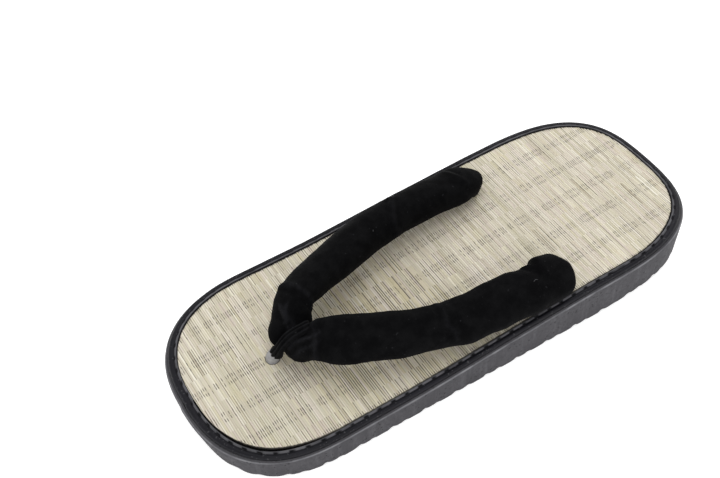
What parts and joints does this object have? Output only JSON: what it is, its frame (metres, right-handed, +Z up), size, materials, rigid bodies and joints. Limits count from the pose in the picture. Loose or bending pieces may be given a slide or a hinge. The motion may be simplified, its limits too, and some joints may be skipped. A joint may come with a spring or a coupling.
{
  "type": "zori sandal",
  "caption": "Flat zori sandal: foam wedge sole with wavy lugs, stitched edge band, woven rush mat and padded velvet V strap with toe wrap and post.",
  "frame": {"origin": "on the floor under the middle of the sole", "axes": "+X from toe to heel, +Y across the foot, +Z up"},
  "size_m": [0.275, 0.112, 0.046],
  "materials": {
    "sole_rubber": "matte dark grey foam rubber with fine pits and upright streaks",
    "band_vinyl": "black vinyl binding, satin, with black lock stitches",
    "rush": "woven rush, pale straw with green and yellow strands and dark warp threads",
    "velvet": "black cotton velvet over soft padding",
    "post_plastic": "translucent grey soft plastic tube"
  },
  "bodies": {
    "root": {"outsole": "sole_rubber", "edge_band": "band_vinyl", "insole_mat": "rush", "strap": "velvet", "toe_wrap": "velvet", "toe_post": "post_plastic"}
  },
  "joints": []
}
